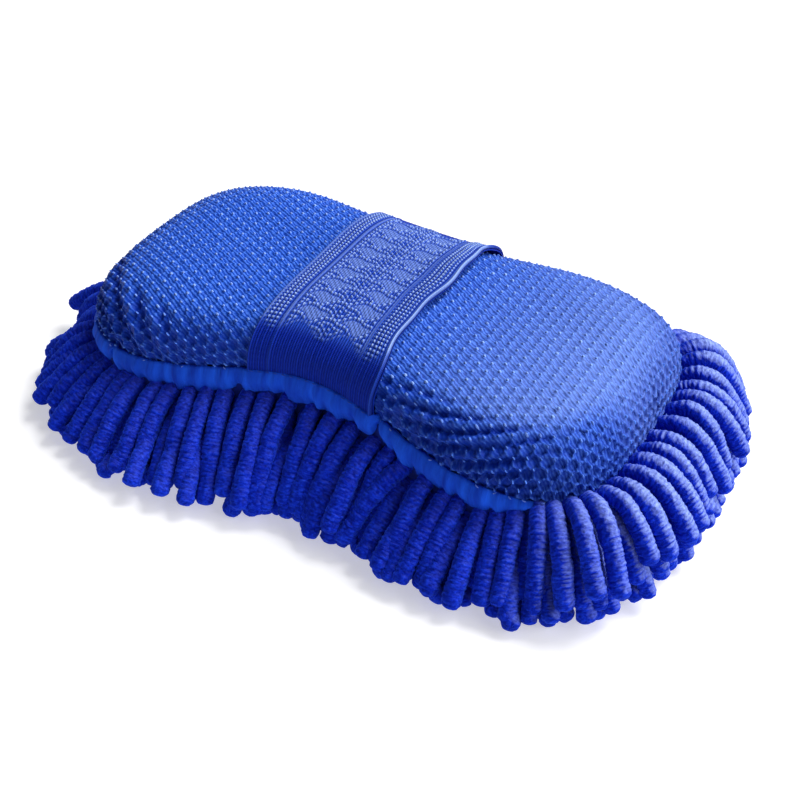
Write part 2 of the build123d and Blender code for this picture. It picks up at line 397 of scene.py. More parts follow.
def net_material():
    """Knitted yarn with knots painted pale as their highlights, painted shade down the sides, in the hole
    floors and in the fold valleys, and a painted glare that makes it paler towards the right end.
    """
    material, tree, shader = new_material("net_yarn")
    flat = flat_place(tree)
    yarn = wave(tree, stretch(tree, flat, (NET_PITCH_Y / NET_PITCH_X / 2, 1.0, 1.0)), 430.0, "DIAGONAL", 4.0)
    speck = noise(tree, flat, 800.0, 2.0)
    base = ramp(tree, yarn, (0.1, (0.008, 0.055, 0.44)), (0.55, (0.026, 0.124, 0.74)),
                (0.95, (0.085, 0.240, 1.0)))
    grain = ramp(tree, speck, (0.3, (0.50, 0.56, 0.66)), (0.7, (1.45, 1.38, 1.15)))
    color = mix(tree, 0.75, base, grain, "MULTIPLY")
    # Painted glare: the net is paler towards the right end and less so down its front side.
    color = mix(tree, attribute(tree, "painted_glare"), color, (0.30, 0.42, 0.84))
    # Painted shade: the deep attribute darkens the net down its sides, in the hole floors and in the fold
    # valleys, less at the right end.
    color = mix(tree, attribute(tree, "deep"), color, (0.001, 0.020, 0.30))
    # Knots painted pale as their highlights.
    color = mix(tree, attribute(tree, "knot"), color, (0.30, 0.48, 1.0))
    wire(tree, shader, Base_Color=color, Normal=bump(tree, yarn, 0.6, 0.0002), Roughness=0.5,
         Specular_IOR_Level=0.2, Specular_Tint=(0.35, 0.55, 1.0))
    return material


def strap_material():
    """Ribbed woven elastic with a pale raised figure."""
    material, tree, shader = new_material("strap_elastic")
    flat = flat_place(tree)
    rib = wave(tree, flat, 330.0, "X", 0.3)
    weft = wave(tree, flat, 520.0, "Y", 0.4)
    base = ramp(tree, rib, (0.1, (0.008, 0.045, 0.40)), (0.9, (0.026, 0.105, 0.68)))
    figured = mix(tree, attribute(tree, "raised"), base, (0.46, 0.64, 1.0))
    shade = mix(tree, attribute(tree, "shade"), (1.0, 1.0, 1.0), (0.10, 0.22, 0.55))
    normal = bump(tree, weft, 0.5, 0.00015, Normal=bump(tree, rib, 0.7, 0.0003))
    wire(tree, shader, Base_Color=mix(tree, 1.0, figured, shade, "MULTIPLY"), Normal=normal, Roughness=0.6,
         Specular_IOR_Level=0.06)
    return material


def band_material():
    """Smooth knit with fine wrinkles across it."""
    material, tree, shader = new_material("band_knit")
    flat = flat_place(tree)
    streak = noise(tree, stretch(tree, flat, (1.0, 0.22, 1.0)), 260.0)
    knit = wave(tree, flat, 420.0, "X", 1.0)
    color = ramp(tree, streak, (0.30, (0.003, 0.034, 0.44)), (0.70, (0.010, 0.100, 0.80)))
    normal = bump(tree, knit, 0.4, 0.00015, Normal=bump(tree, streak, 1.0, 0.0014))
    wire(tree, shader, Base_Color=color, Normal=normal, Roughness=0.9, Specular_IOR_Level=0.12)
    return material


def plain_material(name, dark, light, scale, roughness, grain=0.0002):
    """A mottled, finely grained material for the foam, the ground cloth and the threads."""
    material, tree, shader = new_material(name)
    where = coordinates(tree, "Object")
    patch = noise(tree, where, scale)
    fine = noise(tree, where, scale * 9)
    wire(tree, shader, Base_Color=ramp(tree, patch, (0.3, dark), (0.7, light)), Roughness=roughness,
         Specular_IOR_Level=0.2, Normal=bump(tree, fine, 0.6, grain))
    return material


CHENILLE = chenille_material()
NET = net_material()
ELASTIC = strap_material()
BAND = band_material()
FOAM = plain_material("foam_sponge", (0.002, 0.006, 0.05), (0.006, 0.018, 0.13), 500.0, 0.95, 0.0008)
GROUND = plain_material("ground_cloth", (0.003, 0.012, 0.16), (0.006, 0.022, 0.26), 300.0, 0.9, 0.0004)
THREAD = plain_material("seam_yarn", (0.05, 0.12, 0.55), (0.16, 0.28, 0.85), 900.0, 0.5)
TACK_THREAD = plain_material("tack_yarn", (0.005, 0.03, 0.30), (0.012, 0.06, 0.46), 900.0, 0.7)


# -------------------- net cover

def folds(p, q, share, distance):
    """How far the net stands out in the sag folds on its front side, in millimetres."""
    front = rise(-q, 8, 26) * rise(share, 0.62, 0.74) * (1 - rise(share, 0.93, 1.0))
    right = np.exp(-(((p - 60) / 26) ** 2)) * np.sin(math.tau * distance / 5.2 + 0.05 * p)
    left = np.exp(-(((p + 78) / 20) ** 2)) * np.sin(math.tau * (0.75 * p + 0.5 * q) / 8.5)
    return front * (1.5 * right + 1.0 * left)


def cell_centres():
    """Flat places of the net's holes, in columns that are staggered by half a pitch."""
    columns = int((HALF_LENGTH + 30) / NET_PITCH_X)
    rows = int((LOBE_HALF_WIDTH + 30) / NET_PITCH_Y)
    centres = np.array([
        (column * NET_PITCH_X, (row + (column % 2) / 2) * NET_PITCH_Y)
        for column in range(-columns, columns + 1) for row in range(-rows, rows + 1)])
    _, _, _, _, distance = place(centres[:, 0], centres[:, 1])
    share = distance / reach(centres[:, 0], centres[:, 1])
    return centres[share < 1.0], share[share < 1.0]


def net_points(flat, lift):
    """Places on the net, drawn in to its edge where they lie past it, as points in space, with how far
    down to the edge each is and how far it stands out in a fold."""
    limit = reach(flat[:, 0], flat[:, 1])
    base, _, _, _, distance = place(flat[:, 0], flat[:, 1])
    pull = np.minimum(1.0, limit / np.maximum(distance, 1e-9))
    p = base + (flat[:, 0] - base) * pull
    q = flat[:, 1] * pull
    share = np.minimum(distance / limit, 1.0)
    fold = folds(p, q, share, distance * pull)
    return surface(p, q, lift + fold)[0], share, fold


def net_cover():
    """The knitted net: rounded holes in staggered columns between thin ribs, with a knot for each.

    A hole is a cell of rings of points: its border, which it shares with its neighbours, an inner ring, a
    deep ring and a middle."""
    border = np.array([
        (2 / 3, 0), (1 / 2, 1 / 4), (1 / 3, 1 / 2), (0, 1 / 2), (-1 / 3, 1 / 2), (-1 / 2, 1 / 4),
        (-2 / 3, 0), (-1 / 2, -1 / 4), (-1 / 3, -1 / 2), (0, -1 / 2), (1 / 3, -1 / 2), (1 / 2, -1 / 4)])
    sides = len(border)
    turn = math.tau * np.arange(sides) / sides
    round_hole = np.stack([np.cos(turn) * 0.58, np.sin(turn) * 0.5], -1)
    pitch = np.array([NET_PITCH_X, NET_PITCH_Y])
    centres, share = cell_centres()
    count = len(centres)
    at_end = rise(np.abs(centres[:, 0]), 62, 92)
    open_up = rise(share, 0.62, 0.9) * (0.22 + 0.78 * at_end)
    hole = (0.6 * border + 0.4 * round_hole) * pitch
    crest = np.round(centres[:, None, :] + border * pitch, 3)
    inner = centres[:, None, :] + hole * (0.62 + 0.24 * open_up)[:, None, None]
    deep = centres[:, None, :] + hole * (0.46 + 0.34 * open_up)[:, None, None]
    keys, index, places, heights_at = {}, np.zeros((count, sides), int), [], []
    for i, ring in enumerate(crest):
        for j, spot in enumerate(map(tuple, ring)):
            if spot not in keys:
                keys[spot] = len(places)
                places.append(spot)
                heights_at.append(0.24 if j in (0, 4, 8) else 0.12 if j in (2, 6, 10) else 0.05)
            index[i, j] = keys[spot]
    places, heights_at = np.array(places), np.array(heights_at)
    flat = np.concatenate([places, inner.reshape(-1, 2), deep.reshape(-1, 2), centres])
    outward = np.hypot(flat[:, 0] / HALF_LENGTH, flat[:, 1] / LOBE_HALF_WIDTH)
    slack = 0.06 + 0.16 * rise(outward, 0.7, 1.1)
    flat = flat + RNG.normal(0, 1, flat.shape) * slack[:, None]
    depth = 0.40 + 1.0 * open_up
    lift = np.concatenate([heights_at, *(np.repeat(-part * depth, sides) for part in (0.5, 0.95)), -depth])
    points, at_share, fold = net_points(flat, lift)
    # Painted shade for the deep attribute: darker down the sides, deeper in the hole floors than on the
    # crests, darker in the fold valleys, and lighter at the right end.
    dark = 0.28 + 0.68 * rise(at_share, 0.60, 0.85)
    tone = np.concatenate([np.full(len(places) + count * sides, 0.92), np.full(count * (sides + 1), 1.0)])
    dark[:len(places)] -= 0.28
    dark = np.clip(dark + 0.9 * np.clip(-fold, 0, 1), 0, 1) * (1 - 0.35 * rise(points[:, 0], 76, 100))
    # Painted glare, paler towards the right end and weaker down the front side.
    painted_glare = 0.40 * rise(points[:, 0], 10, 95)
    painted_glare *= 1 - 0.85 * rise(at_share, 0.58, 0.74) * rise(-flat[:, 1], 6, 30)
    faces, cell = [], np.arange(count)
    c = len(places) + cell * sides
    d = c + count * sides
    middle = len(places) + 2 * count * sides + cell
    for j in range(sides):
        k = (j + 1) % sides
        faces += list(np.stack([index[:, j], c + j, c + k, index[:, k]], -1)[:, ::-1])
        faces += list(np.stack([c + j, d + j, d + k, c + k], -1)[:, ::-1])
        faces += list(np.stack([d + j, middle, d + k], -1)[:, ::-1])
    knot_points, knot_faces, knot_flat, knot_tone = net_knots(centres, share, len(points))
    return add_mesh(
        "net_cover", np.concatenate([points, knot_points]), faces + knot_faces, NET,
        uv=np.concatenate([flat, knot_flat]) * MM,
        values={"knot": np.concatenate([np.zeros(len(points)), knot_tone]),
                "deep": np.concatenate([tone * dark, np.zeros(len(knot_points))]),
                "painted_glare": np.concatenate([painted_glare, np.zeros(len(knot_points))])})


def net_knots(centres, share, start):
    """One small oval knot at the left corner of each hole."""
    around = 7
    turn = math.tau * np.arange(around) / around
    side = rise(share, 0.6, 0.85)
    size = RNG.uniform(0.42, 0.62, len(centres)) * (1 - 0.45 * side)
    # Knots painted pale as their highlights, with a random strength, and dimmer down the sides as painted
    # shade.
    tone = RNG.uniform(0.6, 1.0, len(centres)) * (1 - 0.85 * side)
    flat, lift = [], []
    slant = math.atan2(-NET_PITCH_Y / 2, NET_PITCH_X)
    corner = centres[:, None, :] + (-NET_PITCH_X * 2 / 3, 0.0)
    for radius, height in ((1.0, 0.05), (0.72, 0.42)):
        long = np.outer(1.25 + 1.5 * side, np.cos(turn)) * radius
        wide = np.outer(0.85 + 0.1 * side, np.sin(turn)) * radius
        ring = np.stack([long * math.cos(slant) - wide * math.sin(slant),
                         long * math.sin(slant) + wide * math.cos(slant)], -1)
        flat.append(corner + ring * size[:, None, None])
        lift.append(np.full((len(centres), around), height))
    flat.append(corner)
    lift.append(np.full((len(centres), 1), 0.56))
    flat = np.concatenate(flat, 1).reshape(-1, 2)
    lift = np.concatenate(lift, 1).ravel()
    points, _, _ = net_points(flat, lift)
    faces, each = [], 2 * around + 1
    base = start + np.arange(len(centres)) * each
    for j in range(around):
        k = (j + 1) % around
        faces += list(np.stack([base + j, base + k, base + around + k, base + around + j], -1))
        faces += list(np.stack([base + around + j, base + around + k, base + 2 * around], -1))
    return points, faces, flat, np.repeat(tone, each)


# -------------------- foam and ground cloth

def closed_rings(name, rings, material):
    """A closed solid from rings of points, the first and last closed to their middles."""
    rows, columns = len(rings), len(rings[0])
    points = np.concatenate(rings + [[rings[0].mean(0)], [rings[-1].mean(0)]])
    faces = [list(face) for face in grid_faces(rows, columns, True)]
    low, high = rows * columns, rows * columns + 1
    for j in range(columns):
        k = (j + 1) % columns
        faces.append([low, k, j])
        faces.append([high, (rows - 1) * columns + j, (rows - 1) * columns + k])
    return add_mesh(name, points, faces, material)


def foam_block():
    """The sponge just under the net, down to the ground cloth."""
    columns = 240
    point, out, _ = rim(columns)
    directions = []
    for x, y in point:
        base = np.clip(x * RIDGE_HALF / HALF_LENGTH * 1.25, -RIDGE_HALF, RIDGE_HALF)
        away = np.array([x - base, y])
        directions.append((base, *(away / np.linalg.norm(away))))
    base, dx, dy = np.array(directions).T
    rings = []
    for inset, z in ((12, BASE_Z + 2.4), (3.2, BASE_Z + 3.2), (2.2, BASE_Z + 8)):
        rings.append(np.concatenate([point - out * inset, np.full((columns, 1), z)], 1))
    length = reach(base + dx * 40, dy * 40)
    for share in (0.99, 0.96, 0.92, 0.87, 0.8, 0.72, 0.62, 0.5, 0.36, 0.2, 0.06):
        ring, _ = surface(base + dx * length * share, dy * length * share, np.full(columns, -NET_BACKING))
        rings.append(ring)
    return closed_rings("foam_block", rings, FOAM)


def ground_cloth():
    """The cloth that the fingers are fixed to: a thin tray under the body and up its sides to the seam."""
    point, out, _ = rim(360)
    seam, _ = heights(point[:, 0])
    tray = ((30, 0.0), (12, 0.0), (3.0, 0.03), (0.8, 0.14), (0.0, 0.3), (-0.5, 0.55), (-0.2, 0.96))
    sides = []
    for thick in (0.0, 1.0):
        rings = []
        for inset, share in tray:
            z = BASE_Z + share * (seam - 1.0 - BASE_Z) + (thick if share < 0.1 else 0.0)
            rings.append(np.concatenate([point - out * (inset + thick), z[:, None]], 1))
        sides.append(rings)
    return closed_rings("ground_cloth", sides[0] + sides[1][::-1], GROUND)


# -------------------- edge band

def gathers(at):
    """Uneven gathers at distances along the band, each wave with its length, phase and share."""
    waves = ((9.3, 0.4, 0.45), (14.9, 2.2, 0.5), (6.1, 1.1, 0.38), (38.9, 0.2, 0.4), (4.3, 0.9, 0.30))
    return sum(np.sin(math.tau * at / length + phase) * share for length, phase, share in waves)


def edge_band():
    """The plain gathered strip under the seam, with the two places where its ends meet."""
    columns, rows = 1400, 12
    point, out, around = rim(columns)
    at = np.arange(columns) / columns * around
    seam, _ = heights(point[:, 0])
    uneven = gathers(at)
    front = point[:, 1] < 0
    over_strap = rise(STRAP_HALF + 2.5 - np.abs(point[:, 0]), 0, 2.0)
    at_right = rise(point[:, 0], *BAND_FADE)
    split = np.zeros(columns)
    for where in BAND_SPLITS:
        split = np.maximum(split, front * np.exp(-(((point[:, 0] - where) / 1.3) ** 2)))
    height = BAND_HEIGHT + 0.8 * np.sin(math.tau * at / 53.0) + 0.5 * np.sin(math.tau * at / 17.0)
    height = height * (1 - 0.90 * at_right) * (1 - 0.8 * split)
    sides = []
    for thickness in (0.0, 1.0):
        rings = []
        for row in range(rows):
            t = row / (rows - 1)
            bulge = 0.8 + 1.6 * math.sin(math.pi * min(1, t * 1.1)) + 0.3 * t + 1.5 * over_strap
            away = bulge + uneven * (0.28 + 0.70 * t) - thickness - 2.2 * split - 1.5 * at_right
            z = seam + 1.2 + 0.6 * over_strap - 1.5 * at_right - t * height
            rings.append(np.concatenate([point + out * away[:, None], z[:, None]], 1))
        sides.append(rings)
    rings = sides[0] + sides[1][::-1]
    down = np.concatenate([np.arange(rows), np.arange(rows)[::-1]]) * BAND_HEIGHT / rows
    flat = np.stack([np.tile(at, 2 * rows), np.repeat(down, columns)], -1) * MM
    total = 2 * rows
    ring = np.arange(columns)
    after = (ring + 1) % columns
    last = (total - 1) * columns
    faces = np.concatenate([
        grid_faces(total, columns, True), np.stack([last + ring, last + after, after, ring], -1)])
    return add_mesh("edge_band_knit", np.concatenate(rings), faces, BAND, uv=flat)


# -------------------- strap

def strap_shape(u, v, lift):
    """Point of the strap: u from -1 to 1 across it, v from -1 to 1 along it, lift above its underside."""
    x = u * STRAP_HALF
    wavy_right = 1.3 * np.sin(v * 6.5 + 0.6) + 0.4 * np.sin(v * 17 + 1)
    x = x + wavy_right * np.clip(u, 0, 1) ** 2 - 0.5 * np.sin(v * 4) * np.clip(-u, 0, 1)
    length = reach(x, np.sign(v) * 10.0 + 0 * x)
    point, normal = surface(x, v * (length + 0.6), 0.7 + 0 * x)
    inside = 1 - rise(np.abs(v), 0.30, 0.85)
    loose = rise(u, 0.35, 1.0) * (1 - rise(np.abs(v), 0.55, 0.98))
    stand = 1.3 * inside + (1.7 + 0.7 * np.sin(v * 6.5 + 0.6)) * loose
    tuck = rise(np.abs(v), 0.955, 1.0)
    return point + normal * (stand + lift * (1 - 0.35 * tuck) - 0.9 * tuck)[..., None]


def beads(x, y):
    """Round beads in straight rows, 0 to 1."""
    across = np.cos(math.pi * x / BEAD_PITCH)
    along = np.cos(math.pi * y / (1.2 * BEAD_PITCH))
    return np.clip(np.abs(across * along) * 1.8 - 0.75, 0, 1)


def diamonds(x, y):
    """Height and brightness of the woven diamonds: dotted outlines, half of them lined, half satin."""
    bend = 0.09 * np.sin(math.tau * 2 * x / DIAMOND_LENGTH + 0.8)
    a = y / DIAMOND_HEIGHT + bend + x / DIAMOND_LENGTH
    b = y / DIAMOND_HEIGHT + bend - x / DIAMOND_LENGTH
    inside = np.minimum(0.5 - np.abs(a % 1 - 0.5), 0.5 - np.abs(b % 1 - 0.5))
    lined = (np.floor(a) + np.floor(b)) % 2 == 0
    dash = 0.5 + 0.5 * np.cos(math.tau * x / 1.5)
    outline = np.exp(-((inside / 0.060) ** 2)) * dash
    second = np.where(lined, np.exp(-(((inside - 0.25) / 0.050) ** 2)), 0) * dash
    seed = np.where(lined, rise(inside, 0.42, 0.48), 0) * dash
    rib = 0.14 + 0.12 * np.cos(math.tau * (x + 0.8 * y) / 2.2)
    patch = rise(inside, 0.10, 0.18)
    satin = patch * np.where(lined, 0.1, rib)
    lines = np.maximum(np.maximum(outline, 0.9 * second), seed)
    return np.maximum(lines, satin), lines + patch * np.where(lined, 0.0, 0.26)


def strap_pattern(x, y, v):
    """Height in millimetres and brightness of the strap's raised pattern at x across and y along."""
    u = x / STRAP_HALF
    left = rise(u, -0.97, -0.94) * (1 - rise(u, -0.73, -0.71))
    right = rise(u, 0.64, 0.66) * (1 - rise(u, 0.89, 0.92))
    cords = np.exp(-(((u + 0.68) / 0.018) ** 2)) + 0.6 * np.exp(-(((u - 0.61) / 0.018) ** 2))
    selvedge = np.exp(-(((u - 0.972) / 0.020) ** 2)) + 0.6 * np.exp(-(((u + 0.985) / 0.018) ** 2))
    middle = rise(u, -0.66, -0.63) * (1 - rise(u, 0.56, 0.60))
    hem = 0.64 + 0.05 * np.sin(math.tau * x / DIAMOND_LENGTH + 2.0)
    shown = 1 - 0.93 * rise(np.abs(v) - hem, 0.0, 0.06)
    relief, tone = diamonds(x, y)
    dotted = beads(x, y) * (left + right)
    ribs = (0.5 + 0.5 * np.cos(math.tau * x / BEAD_PITCH)) * (1 - shown)
    height = (0.75 * dotted + 0.95 * relief * middle) * shown + 0.35 * cords + 0.55 * selvedge + 0.15 * ribs
    bright = (dotted + 0.95 * tone * middle) * shown + (0.35 * cords + 0.7 * selvedge) * (0.3 + 0.7 * shown)
    return height, np.clip(bright, 0, 1)


def hand_strap():
    """The strap's figured upper face on a fine grid, its edges, and its plain underside on a coarse one."""
    columns, rows, step = 177, 430, 8
    u, v = np.meshgrid(np.linspace(-1, 1, columns), np.linspace(-1, 1, rows))
    along = v * STRAP_RUN
    height, bright = strap_pattern(u * STRAP_HALF, along, v)
    edge = 1 - rise(np.abs(u), 0.985, 1.0) * 0.5
    top = strap_shape(u, v, STRAP_THICKNESS * edge + height)
    coarse = np.arange(0, columns, step)
    under = strap_shape(u[:, coarse], v[:, coarse], 0 * u[:, coarse])
    n, c = rows * columns, len(coarse)
    i = np.arange(rows - 1)
    faces = list(grid_faces(rows, columns)) + list(grid_faces(rows, c, start=n)[:, ::-1])
    faces += list(np.stack([(i + 1) * columns, i * columns, n + i * c, n + (i + 1) * c], -1)[:, ::-1])
    faces += list(np.stack([
        (i + 1) * columns - 1, (i + 2) * columns - 1, n + (i + 2) * c - 1, n + (i + 1) * c - 1], -1))
    for row, flip in ((0, False), (rows - 1, True)):
        for j in range(c - 1):
            fine = [row * columns + j * step + k for k in range(step + 1)]
            face = fine + [n + row * c + j + 1, n + row * c + j]
            faces.append(face if flip else face[::-1])
    points = np.concatenate([top.reshape(-1, 3), under.reshape(-1, 3)])
    flat = np.stack([u * STRAP_HALF, along], -1) * MM
    flat = np.concatenate([flat.reshape(-1, 2), flat[:, coarse].reshape(-1, 2)])
    between = rise(0.30 - bright, 0.0, 0.3) * rise(np.abs(u), 0.60, 0.66)
    plain = rise(0.24 - bright, 0.0, 0.24)
    shade = np.maximum(rise(np.abs(v), 0.60, 0.74), np.maximum(0.55 * between, 0.40 * plain))
    values = {"raised": np.concatenate([bright.ravel(), np.zeros(rows * c)]),
              "shade": np.concatenate([shade.ravel(), np.ones(rows * c)])}
    return add_mesh("hand_strap_elastic", points, faces, ELASTIC, uv=flat, values=values)


# -------------------- fingers

def bezier(points, t):
    """Places t, from 0 to 1, on the cubic curve of four control points."""
    a, b, c, d = (np.asarray(p, float) for p in points)
    t = t[:, None]
    return (1 - t) ** 3 * a + 3 * (1 - t) ** 2 * t * b + 3 * (1 - t) * t**2 * c + t**3 * d


def finger_points(path, radius, around, along, rng):
    """Rings of points along a bent finger with terry bumps, how far out each is and where on it."""
    line = bezier(path, np.linspace(0, 1, 80))
    run = np.concatenate([[0], np.cumsum(np.linalg.norm(np.diff(line, axis=0), axis=1))])
    length = run[-1]
    s = np.linspace(0, 1, along)
    s = np.where(s > 0.9, 0.9 + 0.1 * np.sin((s - 0.9) / 0.1 * math.pi / 2), s)
    s = s / s[-1] * length
    centre = np.stack([np.interp(s, run, line[:, k]) for k in range(3)], -1)
    wobble = np.cumsum(rng.normal(0, 1, (along, 3)), 0)
    wobble -= np.linspace(0, 1, along)[:, None] * wobble[-1]
    centre += wobble * 0.05
    step = np.gradient(line, axis=0)
    tangent = np.stack([np.interp(s, run, step[:, k]) for k in range(3)], -1)
    tangent /= np.linalg.norm(tangent, axis=1, keepdims=True)
    side = np.cross(tangent, [0, 0, 1.0])
    side[np.linalg.norm(side, axis=1) < 0.2] = side[0]
    for i in range(1, along):
        side[i] = side[i - 1] - tangent[i] * np.dot(side[i - 1], tangent[i])
    side /= np.linalg.norm(side, axis=1, keepdims=True)
    up = np.cross(side, tangent)
    blunt = 0.78 * radius
    left = np.clip(length - s, 0, blunt)
    taper = np.clip(1 - ((blunt - left) / blunt) ** 2.6, 0, 1) ** (1 / 2.6)
    angle = math.tau * np.arange(around) / around + rng.uniform(0, 6)
    tufts = round(math.tau * radius / TERRY_TUFT)
    drift = 1.1 * np.sin(s * 0.9 + rng.uniform(0, 6))
    ring = 0.5 + 0.5 * np.cos(math.tau * s / TERRY_RING + drift)
    ring = ring[:, None] * (0.75 + 0.25 * np.sin(2 * angle + s[:, None] * 1.7))
    shift = rng.uniform(0, math.tau, int(length / TERRY_RING * 2) + 3)[(s / TERRY_RING * 2).astype(int)]
    tuft = 0.5 + 0.5 * np.cos(tufts * angle[None, :] + shift[:, None])
    rough = rng.normal(0, 1, (along, around))
    rough = (rough + 0.7 * np.roll(rough, 1, 1) + 0.7 * np.roll(rough, 1, 0)) / 2.0
    terry = np.clip(0.18 + 0.34 * ring + 0.26 * tuft * (0.6 + 0.4 * ring) + 0.20 * rough, 0, 1)
    wide = radius * (1 + 0.05 * np.sin(s / length * 5 + rng.uniform(0, 6)))
    r = (wide * taper)[:, None] - TERRY_DEPTH * (1 - terry) * np.minimum(1, taper * 1.3)[:, None]
    r = np.maximum(r, 0.02)
    points = centre[:, None, :] + r[..., None] * (
        np.cos(angle)[None, :, None] * side[:, None, :] + np.sin(angle)[None, :, None] * up[:, None, :])
    far = rng.uniform(0, 500)
    where = np.stack(np.broadcast_arrays(
        far + radius * np.cos(angle)[None, :], radius * np.sin(angle)[None, :], s[:, None]), -1)
    return points, terry, where


def floor_clear(points):
    """Points no lower than just above the floor."""
    points[..., 2] = np.maximum(points[..., 2], FLOOR_GAP)
    return points


def finger_group(name, paths, radius, around, pitch):
    """One object of many fingers; each path is four control points, and pitch is from ring to ring."""
    points, faces, terry, places, start = [], [], [], [], 0
    for path in paths:
        spans = np.linalg.norm(np.diff(np.array(path, float), axis=0), axis=1).sum()
        along = int(spans / pitch) + 6
        rings, tone, where = finger_points(path, radius * RNG.uniform(0.93, 1.06), around, along, RNG)
        rings = floor_clear(rings)
        caps = [rings[0].mean(0), rings[-1].mean(0)]
        points.append(np.concatenate([rings.reshape(-1, 3), caps]))
        terry.append(np.concatenate([tone.ravel(), [0.3, 0.7]]))
        places.append(np.concatenate([where.reshape(-1, 3), [where[0].mean(0), where[-1].mean(0)]]))
        root, tip = start + along * around, start + along * around + 1
        last = start + (along - 1) * around
        faces += list(grid_faces(along, around, True, start)[:, ::-1])
        faces += [(root, start + j, start + (j + 1) % around) for j in range(around)]
        faces += [(tip, last + (j + 1) % around, last + j) for j in range(around)]
        start += along * around + 2
    points = np.concatenate(points)
    # Painted glare on the right end's fingers, weaker on their front side.
    painted_glare = rise(points[:, 0], GLARE_START, GLARE_FULL)
    painted_glare = painted_glare * (1 - 0.6 * rise(-points[:, 1], 30, 62))
    values = {"terry": np.concatenate(terry), "finger_place": np.concatenate(places),
              "painted_glare": 0.08 + 0.92 * painted_glare}
    return add_mesh(name, points, faces, CHENILLE, values=values)


def local_path(root, out, steps, lean, z_root):
    """Control points in space from (outward, height) steps and a sideways lean of the tip."""
    along = np.array([-out[1], out[0]])
    path = []
    for share, (away, height) in zip((0, 0.25, 0.65, 1.0), steps):
        flat = root + out * away + along * lean * share
        path.append((flat[0], flat[1], max(z_root + height, FINGER_RADIUS + FLOOR_GAP)))
    return path


def side_ring(count, style, shift):
    """Outward direction and path of each finger in a ring round the sides; style shapes the path."""
    point, out, _ = rim(count * 8, ROOT_LINE_OUT)
    paths = []
    for i in range(count):
        k = int((i + shift) * 8 + RNG.integers(-1, 2)) % (count * 8)
        root, away = point[k], out[k]
        seam, _ = heights(root[0])
        z_root, steps = style(root, away, float(seam))
        short = RNG.uniform(0.84, 1.0)
        loose = 1 + 2.0 * ends(away)[2]
        jitter = RNG.normal(0, 0.34, (4, 2)) * np.arange(4)[:, None]
        wide, high = spread(root, away)
        wide *= 1 + RNG.normal(0, 0.045) * loose
        steps = [(a * wide + j[0], h * short + j[1]) for (a, h), j in zip(steps, jitter)]
        steps[1:3] = [(a, h + high) for a, h in steps[1:3]]
        lean = loose * (RNG.normal(0, 1.3) + (RNG.uniform(-5, 5) if RNG.uniform() < 0.12 else 0))
        thin = RNG.uniform() < THINNED_LEFT * ends(away)[2]
        if thin and style in (tucked_style, lower_style):
            continue
        paths.append((away, local_path(root, away, steps, lean, z_root)))
    return paths


def spread(root, away):
    """How much longer fingers are at the left of the front, and how much higher at the back right."""
    wide = rise(-root[0], -5, 15) * (1 - rise(-root[0], 60, 82))
    wide = wide * rise(-away[1], 0.6, 0.9)
    high = rise(away[0], 0.1, 0.4) * rise(away[1], 0.3, 0.75)
    return 1 + 0.20 * wide + 0.12 * high, 5.0 * high


def ends(away):
    """How much a finger belongs to the front or back, the right end and the left end."""
    right = rise(away[0], 0.30, 0.85)
    left = rise(-away[0], 0.35, 0.9)
    return max(0.0, 1 - right - left), right, left


def band_drop(root):
    """How far below the seam the band ends over a finger's root."""
    return BAND_HEIGHT * (1 - 0.9 * rise(root[0], *BAND_FADE))


def mixed_steps(away, side, right, left=None):
    """Steps of a finger that points away, from those for the front and back and for each end."""
    weights, shapes = ends(away), (side, right, left or right)
    return [tuple(sum(w * np.array(shape[i]) for w, shape in zip(weights, shapes)) / sum(weights))
            for i in range(4)]


def upper_style(root, away, seam):
    """Root height and steps of a finger in the row just under the band."""
    z_root = seam - band_drop(root) - 0.5 - 0.5 * ends(away)[1]
    drop = z_root - FINGER_RADIUS - 2.0
    return z_root, mixed_steps(
        away,
        side=[(-1.8, 0.0), (6.0, -0.5), (15.0, -10.0), (23.5, -min(drop, 32.0))],
        right=[(-2.0, -1.5), (8.0, 9.5), (15.0, 5.5), (26.5, -17.0)],
        left=[(-1.5, 0.0), (8.0, 3.5), (16.0, -3.0), (25.5, -17.0)])


def tucked_style(root, away, seam):
    """The half-hidden row behind the upper one, which fills the gaps between its fingers."""
    z_root = seam - band_drop(root) - 5.0
    drop = z_root - FINGER_RADIUS - 1.5
    return z_root, mixed_steps(
        away,
        [(-3.0, 0.0), (3.0, -1.0), (10.0, -10.0), (17.0, -drop)],
        [(-2.5, 0.0), (7.5, 5.0), (16.5, -2.0), (24.5, -0.85 * drop)])


def lower_style(root, away, seam):
    """The row below the upper one, down to the floor."""
    z_root = SEAM_Z - 15.0 + 0.5 * (seam - SEAM_Z) + 3.0 * ends(away)[1]
    drop = z_root - FINGER_RADIUS - 0.6
    return z_root, mixed_steps(
        away,
        [(-2.0, 0.0), (7.0, 0.5), (18.0, -7.0), (25.5, -drop)],
        [(-2.0, 0.0), (9.0, 1.0), (19.0, -4.0), (24.0, -drop)])


def floor_style(root, away, seam):
    """The row at the body's lower edge, which lies on the floor."""
    z_root = BASE_Z - 1.0
    drop = z_root - FINGER_RADIUS - FLOOR_GAP
    return z_root, mixed_steps(
        away,
        [(-9.0, 0.0), (-3.0, -6.0), (9.0, -drop), (24.0, -drop)],
        [(-9.0, 0.0), (-3.0, -6.0), (9.0, -drop), (21.5, -drop)])


def sector(away):
    """front, back, left or right, by the outward direction."""
    if abs(away[0]) > 0.7071:
        return "right" if away[0] > 0 else "left"
    return "back" if away[1] > 0 else "front"


def dress(piece, body, nodes):
    """Common closing lines of a rigid piece."""
    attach(piece, body)
    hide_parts(*nodes)


